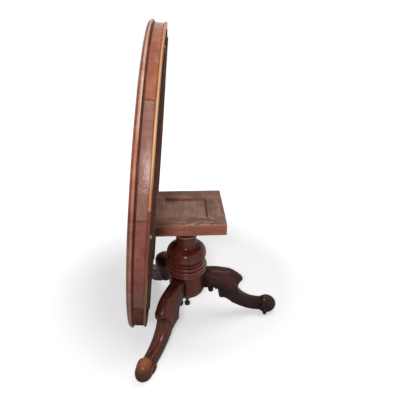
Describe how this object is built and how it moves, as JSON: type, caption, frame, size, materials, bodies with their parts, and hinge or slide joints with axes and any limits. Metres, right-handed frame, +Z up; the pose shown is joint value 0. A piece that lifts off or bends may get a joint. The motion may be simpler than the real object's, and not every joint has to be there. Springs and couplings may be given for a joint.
{
  "type": "tilt-top breakfast table",
  "caption": "Round breakfast table whose deep-friezed top tilts up on pivot pins above a turned pedestal with carved scroll legs.",
  "frame": {"origin": "the point on the floor below the column's axis", "axes": "+Z up; +X the way the block's catch side faces, along the right leg; the pivot axis runs along Y; stored with the top tilted up"},
  "size_m": [0.7852, 1.316, 1.5032],
  "materials": {
    "column_wood": "polished dark mahogany",
    "leg_wood": "polished dark mahogany, carved",
    "block_wood": "worn, unpolished on top",
    "panel_wood": "worn, unpolished",
    "board_wood": "polished mahogany",
    "frieze_veneer": "polished figured mahogany veneer",
    "bead_wood": "polished, worn bright",
    "bearer_wood": "dark, unpolished",
    "iron": "worn",
    "brass": "aged"
  },
  "bodies": {
    "pedestal": {"block_rail_near": "block_wood", "block_rail_far": "block_wood", "block_stile_pivot": "block_wood", "block_stile_catch": "block_wood", "block_panel": "panel_wood", "column": "column_wood", "pendant": "column_wood", "pivot_pin_near": "iron", "pivot_pin_far": "iron", "keeper_plate": "brass", "keeper_screws": "brass", "leg_right": "leg_wood", "leg_near": "leg_wood", "leg_far": "leg_wood"},
    "top": {"top_board_1": "board_wood", "top_board_2": "board_wood", "top_board_3": "board_wood", "top_board_4": "board_wood", "top_board_5": "board_wood", "frieze_segment_01": "frieze_veneer", "frieze_segment_02": "frieze_veneer", "frieze_segment_03": "frieze_veneer", "frieze_segment_04": "frieze_veneer", "frieze_segment_05": "frieze_veneer", "frieze_segment_06": "frieze_veneer", "frieze_segment_07": "frieze_veneer", "frieze_segment_08": "frieze_veneer", "frieze_segment_09": "frieze_veneer", "frieze_segment_10": "frieze_veneer", "frieze_segment_11": "frieze_veneer", "bead_strip_1": "bead_wood", "bead_strip_2": "bead_wood", "bead_strip_3": "bead_wood", "bead_strip_4": "bead_wood", "glue_blocks": "bearer_wood", "bearer_near": "bearer_wood", "bearer_far": "bearer_wood", "bearer_screws": "iron", "stop_rail": "bearer_wood", "stop_screws": "iron", "catch_plate": "brass", "catch_case": "brass", "catch_screws": "brass"},
    "catch_bolt": {"catch_bolt": "brass", "catch_knob": "brass"}
  },
  "joints": [
    {"name": "top_tilt", "type": "hinge", "parent": "pedestal", "child": "top", "pos_m": [-0.16, 0, 0.666], "axis": [0, 1, 0], "range_deg": [0, 84.2]},
    {"name": "catch_slide", "type": "slide", "parent": "top", "child": "catch_bolt", "axis": [-0.1011, 0, -0.9949], "range_m": [0, 0.01]}
  ]
}
